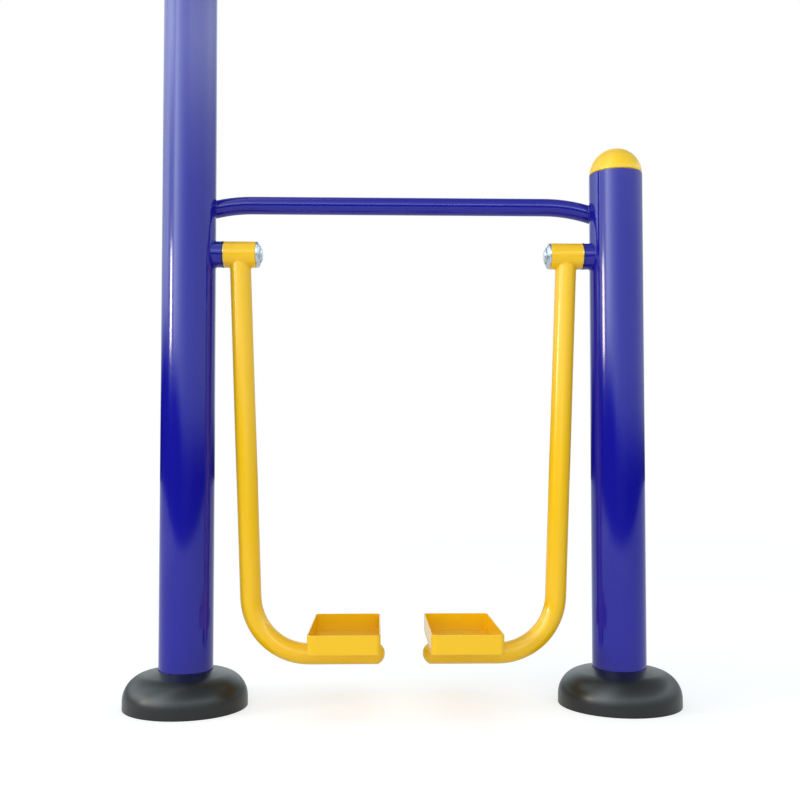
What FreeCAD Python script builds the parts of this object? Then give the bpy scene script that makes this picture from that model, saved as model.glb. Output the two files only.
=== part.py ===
import FreeCAD, Part
import math
import os
import re
from typing import NamedTuple

import Sketcher

# Outdoor air walker: two posts joined by a handrail, and two arms with foot trays that swing from the posts.
# Millimetres. The origin is on the ground midway between the posts, +X points to the short right post, +Z up.
# Whatever is alike on both sides is drawn on the right (+X) and turned half round about Z for the left.

doc = FreeCAD.newDocument("AirWalker")
sheet = doc.addObject("Spreadsheet::Sheet", "Sizes")

# Driving dimensions, one row of the sheet each
SIZES = {
    # Posts
    "post_spacing": 922,  # distance between the post axes
    "post_od": 114,  # outside diameter of both posts
    "post_wall": 3,  # wall of the post tube
    "right_post_top": 1138,  # height of the short post's tube above the ground
    "left_post_extra": 442,  # how much taller the left post is
    "weld_gap": 0.1,  # fit-up gap at a coped or welded joint
    # Post caps
    "cap_inset": 1,  # step from the post's outside in to the cap
    "cap_band": 7.5,  # straight band below the dome
    "cap_edge": 2,  # rounding of the band's lower edge
    "cap_dome": 50.5,  # height of the dome above the band
    "cap_wall": 3,  # wall of the moulded cap
    "cap_skirt": 40,  # depth of the skirt inside the post
    "cap_play": 0.2,  # play between skirt and post
    # Bases
    "flange_rim": 53,  # width of the flange outside the post
    "flange_thick": 12,  # thickness of the flange
    "anchor_offset": 28,  # anchor holes' distance from the post's outside
    "anchor_hole": 18,  # diameter of an anchor hole
    "anchor_count": 4,  # number of anchor holes
    "gusset_reach": 40,  # length of a gusset along the flange
    "gusset_rise": 42,  # height of a gusset along the post
    "gusset_toe": 8,  # blunt end of a gusset
    "gusset_thick": 6,  # thickness of a gusset
    "cover_gap": 16,  # room between the flange and the base cover
    "cover_wall": 4,  # wall of the base cover
    "cover_draft": 0.5,  # draft of the base cover's side
    "cover_top": 78,  # height of the base cover at the post
    "cover_fall": 16.5,  # fall of the cover's top from post to shoulder
    "cover_shoulder": 54,  # outer radius of the cover's shoulder
    "cover_play": 0.3,  # play between base cover and post
    # Handrail
    "rail_od": 38,  # outside diameter of the handrail
    "rail_wall": 2.5,  # wall of the handrail
    "rail_below_top": 62,  # handrail axis below the short post's top
    "rail_set_back": 30,  # handrail axis behind the posts' axes
    "rail_bend_radius": 340,  # bend radius of the handrail's ends
    "rail_knee_left": 93.5,  # left bend's distance from the post axis
    "rail_knee_right": 101,  # right bend's distance from the post axis
    "rail_drop_left": 21,  # fall of the rail's line at the left post axis
    "rail_drop_right": 31,  # fall of the rail's line at the right post axis
    # Pivots
    "pivot_below_rail": 115,  # pivot axis below the handrail axis
    "boss_length": 16,  # pivot boss outside the post
    "boss_tail": 24,  # pivot boss inside the post
    "boss_chamfer": 0.8,  # chamfer at the boss's free end
    "hub_gap": 1,  # gap between boss and hub
    "hub_length": 70,  # length of the hub
    "hub_wall": 6,  # hub wall round the bush flanges
    "hub_chamfer": 1,  # chamfer at both ends of the hub
    "sleeve_od": 30,  # outside diameter of the bearing sleeve
    "bush_wall": 4,  # wall of a bearing bush
    "bush_lip": 3,  # width of a bush's flange
    "bush_flange": 3,  # thickness of a bush's flange
    "bush_length": 22,  # length of a bush with its flange
    "bush_play": 0.05,  # running clearance on the sleeve, on the radius
    "seat_play": 0.02,  # clearance of pressed and screwed seats, on the radius
    "end_play": 0.5,  # hub's play along the sleeve
    "washer_inset": 0.5,  # step from the hub's outside in to the washer
    "washer_rim": 3,  # thickness of the washer's rim
    "washer_floor": 3,  # thickness of the washer under the bolt head
    "washer_rise": 8.5,  # height of the washer's crown
    "washer_crown": 2,  # width of the washer's crown round the bolt head
    "head_play": 0.7,  # room round the bolt head's corners in the washer
    "bolt_diameter": 20,  # diameter of the pivot bolt
    "bolt_length": 110,  # length of the pivot bolt under its head
    "bolt_flats": 30,  # width across the flats of the bolt head
    "bolt_head": 12.5,  # height of the bolt head
    "crown_inset": 0.75,  # bolt head's flat crown inside its flats
    "crown_angle": 30,  # slope of the bolt head's chamfer, in degrees
    "bolt_chamfer": 1.5,  # chamfer of the bolt's end
    # Swing stop
    "swing_limit": 45,  # swing each way, in degrees
    "stop_slack": 1,  # slack of the stop each way, in degrees
    "stop_key_width": 8,  # width of the stop key
    "stop_key_seat": 2.5,  # depth of the key's seat in the sleeve
    "stop_key_play": 0.6,  # room above the key inside the hub
    "stop_ring_play": 0.5,  # room between stop ring and sleeve
    "stop_key_inset": 1,  # key shorter than the stop ring at each end
    # Arms and foot trays
    "arm_od": 45,  # outside diameter of the arm tube
    "arm_wall": 2.5,  # wall of the arm tube
    "arm_bend_radius": 124,  # bend radius of the arm's axis
    "foot_tube_height": 108.5,  # axis of the arm's level run above the ground
    "tray_gap": 100,  # clear distance between the two foot trays
    "tray_setback": 0.6,  # tray's distance from the start of the arm's bend
    "tip_overhang": 9.7,  # arm tip past the tray's inner side
    "tip_dome": 15,  # depth of the domed arm end
    "tip_skirt": 18,  # depth of the arm end's plug
    "tip_wall": 2.5,  # wall of the arm end
    "tray_width": 146,  # width of the tray at its rim
    "tray_length": 298,  # length of the tray at its rim
    "tray_depth": 40,  # height of the tray
    "tray_wall": 2.5,  # sheet thickness of the tray
    "tray_corner": 10,  # outer radius of the tray's upright corners
    "tray_fold": 3,  # outer radius of the fold round the tray's floor
}
for row, (alias, number) in enumerate(SIZES.items(), start=1):
    sheet.set(f"A{row}", alias)
    sheet.set(f"B{row}", str(number))
    sheet.setAlias(f"B{row}", alias)
doc.recompute()

# Dimensions that follow from the driving ones
POST_X = "post_spacing / 2"
POST_R = "post_od / 2"
POST_BORE = "post_od / 2 - post_wall"
POST_TOP = {"left": "right_post_top + left_post_extra", "right": "right_post_top"}
CAP_R = "post_od / 2 - cap_inset"
FLANGE_R = "post_od / 2 + flange_rim"
COVER_R = f"{FLANGE_R} + cover_gap + cover_wall"
RAIL_Z = "right_post_top - rail_below_top"
PIVOT_Z = f"{RAIL_Z} - pivot_below_rail"
SLEEVE_R = "sleeve_od / 2"
HUB_BORE = f"{SLEEVE_R} + bush_wall"
HUB_R = f"{HUB_BORE} + bush_lip + hub_wall"
BOLT_R = "bolt_diameter / 2"
HEAD_CORNER = "bolt_flats / 2 / cos(30 deg)"

# Places along a pivot, measured from the post axis towards the middle
BOSS_ROOT = f"{POST_BORE} - boss_tail"
BOSS_END = f"{POST_R} + boss_length"
HUB_START = f"{BOSS_END} + hub_gap"
HUB_END = f"{HUB_START} + hub_length"
WASHER_SEAT = f"{HUB_END} + end_play"
HEAD_SEAT = f"{WASHER_SEAT} + washer_floor"
STOP_START = f"{HUB_START} + bush_length"
STOP_LENGTH = "hub_length - 2 * bush_length"
PIVOT_X = f"{POST_X} - ({HUB_START} + hub_length / 2)"

# Places along an arm, measured from the middle of the machine
TRAY_INNER = "tray_gap / 2"
TRAY_X = f"{TRAY_INNER} + tray_width / 2"
ARM_CORNER_X = f"{TRAY_INNER} + tray_width + tray_setback + arm_bend_radius"
TIP_X = f"{TRAY_INNER} - tip_overhang"
TUBE_END_X = f"{TIP_X} + tip_dome"
TRAY_Z = "foot_tube_height + arm_od / 2 + weld_gap"

SIDES = ("left", "right")
ORIGIN = FreeCAD.Vector(0, 0, 0)
Y_AXIS = FreeCAD.Vector(0, 1, 0)
Z_AXIS = FreeCAD.Vector(0, 0, 1)
HALF_TURN = FreeCAD.Rotation(Z_AXIS, 180)
INWARD = FreeCAD.Rotation(Y_AXIS, -90)
nodes = []


class Corner(NamedTuple):
    """A corner of an outline: formulas for its place, its rounding and the radius of an arc that ends in it.

    The arc's sign is its sense of travel: a positive radius turns anticlockwise.
    """

    x: str
    y: str
    rounding: str = ""
    arc: str = ""


def in_sheet(formula):
    """Points every alias in a formula at the sheet."""

    def qualified(word):
        return f"Sizes.{word[0]}" if word[0] in SIZES else word[0]

    return re.sub(r"[a-z_]+", qualified, formula)


def value(formula):
    """The present value of a formula."""
    return float(sheet.evalExpression(in_sheet(formula)))


def bind(obj, prop, formula):
    """Ties a property to a formula of the sheet's values."""
    obj.setExpression(prop, in_sheet(formula))


def place(obj, x="0", y="0", z="0", rotation=FreeCAD.Rotation()):
    """Puts an object at a place given by formulas, with a fixed rotation."""
    obj.Placement = FreeCAD.Placement(ORIGIN, rotation)
    bind(obj, "Placement.Base.x", x)
    bind(obj, "Placement.Base.y", y)
    bind(obj, "Placement.Base.z", z)
    return obj


def node(obj, label):
    """Names a finished piece and lists it for export."""
    obj.Label = label
    nodes.append(obj)
    return obj


def at_side(obj, side):
    """Leaves a right-hand piece where it is, or turns it half round for the left."""
    obj.Placement = FreeCAD.Placement(ORIGIN, HALF_TURN if side == "left" else FreeCAD.Rotation())
    return obj


def at_post(obj, side, z="0"):
    """Puts a piece that is drawn round its own Z axis on a post's axis."""
    sign = "-1" if side == "left" else "1"
    rotation = HALF_TURN if side == "left" else FreeCAD.Rotation()
    return place(obj, x=f"{sign} * {POST_X}", z=z, rotation=rotation)


def at_pivot(obj, side):
    """Lays a piece that is drawn along +Z on a pivot axis, pointing from the post to the middle."""
    sign = "-1" if side == "left" else "1"
    rotation = HALF_TURN.multiply(INWARD) if side == "left" else INWARD
    return place(obj, x=f"{sign} * {POST_X}", z=PIVOT_Z, rotation=rotation)


def cylinder(name, radius, height, start="0"):
    """A cylinder along Z."""
    rod = doc.addObject("Part::Cylinder", name)
    bind(rod, "Radius", radius)
    bind(rod, "Height", height)
    return place(rod, z=start)


def cut(name, base, tool):
    """One solid less another."""
    rest = doc.addObject("Part::Cut", name)
    rest.Base = base
    rest.Tool = tool
    return rest


def group(name, members):
    """Identical pieces kept together as one node."""
    compound = doc.addObject("Part::Compound", name)
    compound.Links = members
    return compound


def new_sketch(body, role, name):
    """A sketch on one of the body's own origin planes."""
    plane = next(item for item in body.Origin.OriginFeatures if item.Role == role)
    sketch = body.newObject("Sketcher::SketchObject", name)
    sketch.AttachmentSupport = [(plane, "")]
    sketch.MapMode = "FlatFace"
    return sketch


def pin_point(sketch, geometry, end, corner):
    """Dimensions one point of a sketch from the sketch's origin."""
    for kind, axis, formula in (("DistanceX", -2, corner.x), ("DistanceY", -1, corner.y)):
        number = value(formula)
        if number == 0:
            sketch.addConstraint(Sketcher.Constraint("PointOnObject", geometry, end, axis))
            continue
        if number > 0:
            index = sketch.addConstraint(Sketcher.Constraint(kind, -1, 1, geometry, end, number))
            bind(sketch, f"Constraints[{index}]", formula)
        else:
            index = sketch.addConstraint(Sketcher.Constraint(kind, geometry, end, -1, 1, -number))
            bind(sketch, f"Constraints[{index}]", f"-({formula})")


def tie_radius(sketch, geometry, formula):
    """Dimensions the radius of a circle or an arc."""
    index = sketch.addConstraint(Sketcher.Constraint("Radius", geometry, value(formula)))
    bind(sketch, f"Constraints[{index}]", formula)


def add_arc(sketch, begin, finish, radius):
    """An arc from one point to another; returns its index and the ends that lie at those points."""
    if radius < 0:
        index, first, last = add_arc(sketch, finish, begin, -radius)
        return index, last, first
    chord = finish - begin
    middle = (begin + finish) * 0.5
    rise = math.sqrt(max(radius**2 - chord.Length**2 / 4, 0))
    normal = FreeCAD.Vector(-chord.y, chord.x, 0).normalize()
    centre = middle + normal * rise
    first_angle = math.atan2(begin.y - centre.y, begin.x - centre.x)
    last_angle = math.atan2(finish.y - centre.y, finish.x - centre.x)
    circle = Part.Circle(centre, Z_AXIS, radius)
    return sketch.addGeometry(Part.ArcOfCircle(circle, first_angle, last_angle)), 1, 2


def rounded_ends(before, spot, after, radius):
    """Where a rounding leaves the two edges of a corner, and its signed radius."""
    back = (before - spot).normalize()
    ahead = (after - spot).normalize()
    run = radius / math.tan(back.getAngle(ahead) / 2)
    sense = 1 if (spot - before).cross(after - spot).z > 0 else -1
    return spot + back * run, spot + ahead * run, sense * radius


def draw(sketch, corners, closed=True):
    """Draws an outline or an open path through the corners, fully dimensioned."""
    count = len(corners)
    spots = [FreeCAD.Vector(value(corner.x), value(corner.y), 0) for corner in corners]
    arrive = list(spots)
    leave = list(spots)
    turns = {}
    for i, corner in enumerate(corners):
        if corner.rounding:
            before, after = spots[i - 1], spots[(i + 1) % count]
            radius = value(corner.rounding)
            arrive[i], leave[i], turns[i] = rounded_ends(before, spots[i], after, radius)
    edges = {}
    for i in range(count if closed else count - 1):
        follower = (i + 1) % count
        radius = corners[follower].arc
        if radius:
            edges[i] = add_arc(sketch, leave[i], arrive[follower], value(radius))
            tie_radius(sketch, edges[i][0], f"abs({radius})")
        else:
            edges[i] = (sketch.addGeometry(Part.LineSegment(leave[i], arrive[follower])), 1, 2)
    for i, corner in enumerate(corners):
        earlier = edges.get((i - 1) % count)
        later = edges.get(i)
        if corner.rounding:
            bend, first, last = add_arc(sketch, arrive[i], leave[i], turns[i])
            tie_radius(sketch, bend, corner.rounding)
            sketch.addConstraint(Sketcher.Constraint("Tangent", earlier[0], earlier[2], bend, first))
            sketch.addConstraint(Sketcher.Constraint("Tangent", bend, last, later[0], later[1]))
            apex = sketch.addGeometry(Part.Point(spots[i]), True)
            sketch.addConstraint(Sketcher.Constraint("PointOnObject", apex, 1, earlier[0]))
            sketch.addConstraint(Sketcher.Constraint("PointOnObject", apex, 1, later[0]))
            pin_point(sketch, apex, 1, corner)
        elif earlier and later:
            meet = Sketcher.Constraint("Coincident", earlier[0], earlier[2], later[0], later[1])
            sketch.addConstraint(meet)
            pin_point(sketch, later[0], later[1], corner)
        elif later:
            pin_point(sketch, later[0], later[1], corner)
        else:
            pin_point(sketch, earlier[0], earlier[2], corner)


def rectangle(low_x, low_y, high_x, high_y, rounding=""):
    """The corners of a rectangle, rounded or sharp."""
    return [
        Corner(low_x, low_y, rounding),
        Corner(high_x, low_y, rounding),
        Corner(high_x, high_y, rounding),
        Corner(low_x, high_y, rounding),
    ]


def revolved(name, corners, angle="360"):
    """A body turned about its own Z axis from a half section, centred on the section's plane."""
    body = doc.addObject("PartDesign::Body", name)
    section = new_sketch(body, "XZ_Plane", f"{name}_section")
    draw(section, corners)
    turn = body.newObject("PartDesign::Revolution", f"{name}_turn")
    turn.Profile = section
    turn.ReferenceAxis = (section, ["V_Axis"])
    turn.Midplane = True
    bind(turn, "Angle", angle)
    return body


def circle_on(sketch, radius):
    """A circle round the sketch's origin."""
    index = sketch.addGeometry(Part.Circle(ORIGIN, Z_AXIS, value(radius)))
    sketch.addConstraint(Sketcher.Constraint("Coincident", index, 3, -1, 1))
    tie_radius(sketch, index, radius)


def bent_tube(name, corners, radius, wall):
    """A round tube swept along a path in the XZ plane."""
    body = doc.addObject("PartDesign::Body", name)
    path = new_sketch(body, "XZ_Plane", f"{name}_path")
    draw(path, corners, closed=False)
    doc.recompute()
    ring = body.newObject("Sketcher::SketchObject", f"{name}_ring")
    ring.AttachmentSupport = [(path, "Edge1")]
    ring.MapMode = "NormalToEdge"
    circle_on(ring, radius)
    circle_on(ring, f"{radius} - {wall}")
    pipe = body.newObject("PartDesign::AdditivePipe", f"{name}_pipe")
    pipe.Profile = ring
    pipe.Spine = path
    return body


def pad_on(body, role, corners, length, start="0"):
    """A pad of an outline, from a height above an origin plane."""
    sketch = new_sketch(body, role, f"{body.Name}_outline")
    bind(sketch, "AttachmentOffset.Base.z", start)
    draw(sketch, corners)
    pad = body.newObject("PartDesign::Pad", f"{body.Name}_pad")
    pad.Profile = sketch
    bind(pad, "Length", length)
    return pad


def build_post(side):
    """A tube that stands on the base flange, with a hole for the pivot boss in its inward wall."""
    height = f"{POST_TOP[side]} - flange_thick"
    outside = place(cylinder(f"{side}_post_outside", POST_R, height), x=POST_X, z="flange_thick")
    inside = place(cylinder(f"{side}_post_inside", POST_BORE, height), x=POST_X, z="flange_thick")
    hole = cylinder(f"{side}_boss_hole", f"{HUB_R} + weld_gap", BOSS_END)
    place(hole, x=POST_X, z=PIVOT_Z, rotation=INWARD)
    tube = cut(f"{side}_post_tube", outside, inside)
    return at_side(cut(f"{side}_post", tube, hole), side)


def build_post_cap(side):
    """A moulded dome with a skirt that plugs into the post."""
    skirt = f"{POST_BORE} - cap_play"
    bore = f"{skirt} - cap_wall"
    dome = f"(({CAP_R}) ^ 2 + cap_dome ^ 2) / (2 * cap_dome)"
    inner_r = f"{CAP_R} - cap_wall"
    inner_rise = "cap_dome - cap_wall"
    inner_dome = f"(({inner_r}) ^ 2 + ({inner_rise}) ^ 2) / (2 * ({inner_rise}))"
    return at_post(
        revolved(
            f"{side}_post_cap",
            [
                Corner(bore, "-cap_skirt"),
                Corner(skirt, "-cap_skirt"),
                Corner(skirt, "0"),
                Corner(CAP_R, "0", rounding="cap_edge"),
                Corner(CAP_R, "cap_band"),
                Corner("0", "cap_band + cap_dome", arc=dome),
                Corner("0", "cap_band + cap_dome - cap_wall"),
                Corner(inner_r, "cap_band", arc=f"-({inner_dome})"),
                Corner(bore, "cap_band"),
            ],
        ),
        side,
        z=POST_TOP[side],
    )


def build_base_flange(side):
    """A round plate with anchor holes, closed across the foot of the post."""
    body = doc.addObject("PartDesign::Body", f"{side}_base_flange")
    disc = new_sketch(body, "XY_Plane", f"{side}_flange_disc")
    circle_on(disc, FLANGE_R)
    plate = body.newObject("PartDesign::Pad", f"{side}_flange_plate")
    plate.Profile = disc
    bind(plate, "Length", "flange_thick")
    hole = new_sketch(body, "XY_Plane", f"{side}_anchor_circle")
    anchor = Corner(f"{POST_R} + anchor_offset", "0")
    centre = FreeCAD.Vector(value(anchor.x), 0, 0)
    index = hole.addGeometry(Part.Circle(centre, Z_AXIS, value("anchor_hole / 2")))
    pin_point(hole, index, 3, anchor)
    tie_radius(hole, index, "anchor_hole / 2")
    pocket = body.newObject("PartDesign::Pocket", f"{side}_anchor_pocket")
    pocket.Profile = hole
    pocket.Type = "ThroughAll"
    pocket.Reversed = True
    ring = body.newObject("PartDesign::PolarPattern", f"{side}_anchor_ring")
    ring.Originals = [pocket]
    ring.Axis = (hole, ["N_Axis"])
    bind(ring, "Occurrences", "anchor_count")
    body.Tip = ring
    return at_post(body, side)


def build_base_gussets(side):
    """One rib between post and flange half-way between each two anchor holes."""
    count = round(value("anchor_count"))
    ribs = []
    for i in range(count):
        rib = doc.addObject("PartDesign::Body", f"{side}_gusset_{i + 1}")
        foot = f"{POST_R} + weld_gap"
        low = "flange_thick"
        outline = [
            Corner(foot, low),
            Corner(f"{foot} + gusset_reach", low),
            Corner(f"{foot} + gusset_reach", f"{low} + gusset_toe"),
            Corner(f"{foot} + gusset_toe", f"{low} + gusset_rise"),
            Corner(foot, f"{low} + gusset_rise"),
        ]
        pad = pad_on(rib, "XZ_Plane", outline, "gusset_thick")
        pad.Midplane = True
        rib.Placement.Rotation = FreeCAD.Rotation(Z_AXIS, (i + 0.5) * 360 / count)
        ribs.append(rib)
    return at_post(group(f"{side}_base_gussets", ribs), side)


def build_base_cover(side):
    """A moulded dome that hides flange and anchors: a drafted side, a round shoulder and a sloping top."""
    collar = f"{POST_R} + cover_play"
    side_r = f"{COVER_R} - cover_draft"
    shoulder_z = "cover_top - cover_fall"
    inner_shoulder = "cover_shoulder - cover_wall"
    return at_post(
        revolved(
            f"{side}_base_cover",
            [
                Corner(f"{COVER_R} - cover_wall", "0"),
                Corner(COVER_R, "0"),
                Corner(side_r, shoulder_z, rounding="cover_shoulder"),
                Corner(collar, "cover_top"),
                Corner(collar, "cover_top - cover_wall"),
                Corner(f"{side_r} - cover_wall", f"{shoulder_z} - cover_wall", rounding=inner_shoulder),
            ],
        ),
        side,
    )


def build_handrail():
    """A tube between the posts, behind their axes, whose bent-down ends are coped to the posts' outsides."""
    left_end = Corner(f"-{POST_X}", f"{RAIL_Z} - rail_drop_left")
    left_knee = Corner(f"-{POST_X} + rail_knee_left", RAIL_Z, rounding="rail_bend_radius")
    right_knee = Corner(f"{POST_X} - rail_knee_right", RAIL_Z, rounding="rail_bend_radius")
    right_end = Corner(POST_X, f"{RAIL_Z} - rail_drop_right")
    route = [left_end, left_knee, right_knee, right_end]
    rail = place(bent_tube("handrail_tube", route, "rail_od / 2", "rail_wall"), y="rail_set_back")
    for side in SIDES:
        sign = "-1" if side == "left" else "1"
        cope = cylinder(f"{side}_rail_cope", f"{POST_R} + weld_gap", f"2 * ({RAIL_Z})")
        place(cope, x=f"{sign} * {POST_X}")
        rail = cut(f"handrail_{side}", rail, cope)
    return rail


def build_pivot_boss(side):
    """A round bar through the post's wall, bored for the pivot bolt."""
    bore = f"{BOLT_R} + seat_play"
    return at_pivot(
        revolved(
            f"{side}_pivot_boss",
            [
                Corner(bore, BOSS_ROOT),
                Corner(HUB_R, BOSS_ROOT),
                Corner(HUB_R, f"{BOSS_END} - boss_chamfer"),
                Corner(f"{HUB_R} - boss_chamfer", BOSS_END),
                Corner(bore, BOSS_END),
            ],
        ),
        side,
    )


def build_bearing_sleeve(side):
    """A hardened distance sleeve between boss and washer, with a seat for the stop key."""
    length = f"{WASHER_SEAT} - ({BOSS_END})"
    outside = cylinder(f"{side}_sleeve_outside", SLEEVE_R, length, BOSS_END)
    inside = cylinder(f"{side}_sleeve_inside", f"{BOLT_R} + seat_play", length, BOSS_END)
    tube = cut(f"{side}_sleeve_tube", outside, inside)
    seat = doc.addObject("PartDesign::Body", f"{side}_key_seat")
    pad_on(seat, "XY_Plane", stop_key_outline("seat_play"), STOP_LENGTH, STOP_START)
    return at_pivot(cut(f"{side}_bearing_sleeve", tube, seat), side)


def stop_key_outline(play):
    """The stop key's end view, widened and deepened by a play; it points down from the sleeve."""
    root = f"{SLEEVE_R} - stop_key_seat - {play}"
    top = f"{HUB_BORE} - stop_key_play"
    half = f"(stop_key_width / 2 + {play})"
    return rectangle(f"-({top})", f"-{half}", f"-({root})", half)


def build_stop_key(side):
    """The fixed half of the swing stop, a key set into the sleeve."""
    key = doc.addObject("PartDesign::Body", f"{side}_stop_key")
    start = f"{STOP_START} + stop_key_inset"
    pad_on(key, "XY_Plane", stop_key_outline("0"), f"{STOP_LENGTH} - 2 * stop_key_inset", start)
    return at_pivot(key, side)


def build_stop_ring(side):
    """The swinging half of the stop, a ring in the hub whose opening lets the key travel."""
    inner = f"{SLEEVE_R} + stop_ring_play"
    key_angle = f"asin(stop_key_width / 2 / ({inner}))"
    opening = f"2 * ((swing_limit + stop_slack) * 1 deg + {key_angle})"
    outer = f"{HUB_BORE} - seat_play"
    section = rectangle(inner, STOP_START, outer, f"{STOP_START} + {STOP_LENGTH}")
    return at_pivot(revolved(f"{side}_stop_ring", section, angle=f"360 deg - {opening}"), side)


def build_hub(side):
    """A turned sleeve, bored for the bushes and recessed at both ends for their flanges."""
    recess = f"{HUB_BORE} + bush_lip + seat_play"
    return at_pivot(
        revolved(
            f"{side}_hub",
            [
                Corner(recess, HUB_START),
                Corner(f"{HUB_R} - hub_chamfer", HUB_START),
                Corner(HUB_R, f"{HUB_START} + hub_chamfer"),
                Corner(HUB_R, f"{HUB_END} - hub_chamfer"),
                Corner(f"{HUB_R} - hub_chamfer", HUB_END),
                Corner(recess, HUB_END),
                Corner(recess, f"{HUB_END} - bush_flange"),
                Corner(HUB_BORE, f"{HUB_END} - bush_flange"),
                Corner(HUB_BORE, f"{HUB_START} + bush_flange"),
                Corner(recess, f"{HUB_START} + bush_flange"),
            ],
        ),
        side,
    )


def build_bush(side, name, face, sense):
    """A flanged plain bearing pressed into one end of the hub; sense points from its flange into the hub."""
    inner = f"{SLEEVE_R} + bush_play"
    outer = f"{HUB_BORE} - seat_play"
    lip = f"{HUB_BORE} + bush_lip"
    return at_pivot(
        revolved(
            f"{side}_{name}",
            [
                Corner(inner, face),
                Corner(lip, face),
                Corner(lip, f"{face} + {sense} * bush_flange"),
                Corner(outer, f"{face} + {sense} * bush_flange"),
                Corner(outer, f"{face} + {sense} * bush_length"),
                Corner(inner, f"{face} + {sense} * bush_length"),
            ],
        ),
        side,
    )


def build_washer(side):
    """A cup washer as wide as the hub, which keeps the hub on the sleeve and houses the bolt head."""
    bore = f"{BOLT_R} + seat_play"
    rim = f"{HUB_R} - washer_inset"
    recess = f"{HEAD_CORNER} + head_play"
    crown = f"{WASHER_SEAT} + washer_rise"
    return at_pivot(
        revolved(
            f"{side}_retaining_washer",
            [
                Corner(bore, WASHER_SEAT),
                Corner(rim, WASHER_SEAT),
                Corner(rim, f"{WASHER_SEAT} + washer_rim"),
                Corner(f"{recess} + washer_crown", crown),
                Corner(recess, crown),
                Corner(recess, HEAD_SEAT),
                Corner(bore, HEAD_SEAT),
            ],
        ),
        side,
    )


def build_pivot_bolt(side):
    """A hex-head bolt that clamps washer and sleeve to the boss; two corners of its head lie level."""
    prism = doc.addObject("Part::Prism", f"{side}_bolt_hexagon")
    prism.Polygon = 6
    bind(prism, "Circumradius", HEAD_CORNER)
    bind(prism, "Height", "bolt_head")
    place(prism, z=HEAD_SEAT, rotation=FreeCAD.Rotation(Z_AXIS, 180 / prism.Polygon))
    crown = "(bolt_flats / 2 - crown_inset)"
    cone = doc.addObject("Part::Cone", f"{side}_bolt_crown")
    bind(cone, "Radius1", f"{crown} + bolt_head / tan(crown_angle * 1 deg)")
    bind(cone, "Radius2", crown)
    bind(cone, "Height", "bolt_head")
    place(cone, z=HEAD_SEAT)
    head = doc.addObject("Part::Common", f"{side}_bolt_head")
    head.Base = prism
    head.Tool = cone
    tip = f"{HEAD_SEAT} - bolt_length"
    shank = revolved(
        f"{side}_bolt_shank",
        [
            Corner("0", tip),
            Corner(f"{BOLT_R} - bolt_chamfer", tip),
            Corner(BOLT_R, f"{tip} + bolt_chamfer"),
            Corner(BOLT_R, HEAD_SEAT),
            Corner("0", HEAD_SEAT),
        ],
    )
    bolt = doc.addObject("Part::Fuse", f"{side}_pivot_bolt")
    bolt.Base = shank
    bolt.Tool = head
    return at_pivot(bolt, side)


def build_arm_tube(side):
    """A tube that runs level under the tray, bends up and leans out to the hub, where it is coped."""
    tray_end = Corner(TUBE_END_X, "foot_tube_height")
    bend = Corner(ARM_CORNER_X, "foot_tube_height", rounding="arm_bend_radius")
    pivot = Corner(PIVOT_X, PIVOT_Z)
    tube = bent_tube(f"{side}_arm_blank", [tray_end, bend, pivot], "arm_od / 2", "arm_wall")
    cope = cylinder(f"{side}_arm_cope", f"{HUB_R} + weld_gap", HUB_END)
    place(cope, x=POST_X, z=PIVOT_Z, rotation=INWARD)
    return at_side(cut(f"{side}_arm_tube", tube, cope), side)


def build_arm_end(side):
    """A pressed dome that closes the free end of the arm tube."""
    outside = "arm_od / 2"
    skirt = "arm_od / 2 - arm_wall - seat_play"
    dome = f"(({outside}) ^ 2 + tip_dome ^ 2) / (2 * tip_dome)"
    bore = f"{skirt} - tip_wall"
    dome_end = revolved(
        f"{side}_arm_end",
        [
            Corner("0", "0"),
            Corner(bore, "0"),
            Corner(bore, "-tip_skirt"),
            Corner(skirt, "-tip_skirt"),
            Corner(skirt, "0"),
            Corner(outside, "0"),
            Corner("0", "tip_dome", arc=dome),
        ],
    )
    sign = "-1" if side == "left" else "1"
    rotation = HALF_TURN.multiply(INWARD) if side == "left" else INWARD
    return place(dome_end, x=f"{sign} * ({TUBE_END_X})", z="foot_tube_height", rotation=rotation)


def build_foot_tray(side):
    """An open box of folded sheet, welded on top of the arm's level run."""
    half_width = "tray_width / 2"
    half_length = "tray_length / 2"
    body = doc.addObject("PartDesign::Body", f"{side}_foot_tray")
    outline = rectangle(f"-{half_width}", f"-{half_length}", half_width, half_length, "tray_corner")
    block = pad_on(body, "XY_Plane", outline, "tray_depth")
    doc.recompute()
    floor = min(range(len(block.Shape.Faces)), key=lambda i: block.Shape.Faces[i].CenterOfMass.z)
    fold = body.newObject("PartDesign::Fillet", f"{side}_tray_fold")
    fold.Base = (block, [f"Face{floor + 1}"])
    bind(fold, "Radius", "tray_fold")
    doc.recompute()
    inner_width = f"({half_width} - tray_wall)"
    inner_length = f"({half_length} - tray_wall)"
    inner_corner = "tray_corner - tray_wall"
    hollow = new_sketch(body, "XY_Plane", f"{side}_tray_hollow")
    bind(hollow, "AttachmentOffset.Base.z", "tray_wall")
    draw(hollow, rectangle(f"-{inner_width}", f"-{inner_length}", inner_width, inner_length, inner_corner))
    pocket = body.newObject("PartDesign::Pocket", f"{side}_tray_inside")
    pocket.Profile = hollow
    pocket.Reversed = True
    bind(pocket, "Length", "tray_depth")
    sign = "-1" if side == "left" else "1"
    return place(body, x=f"{sign} * ({TRAY_X})", z=TRAY_Z)


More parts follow.
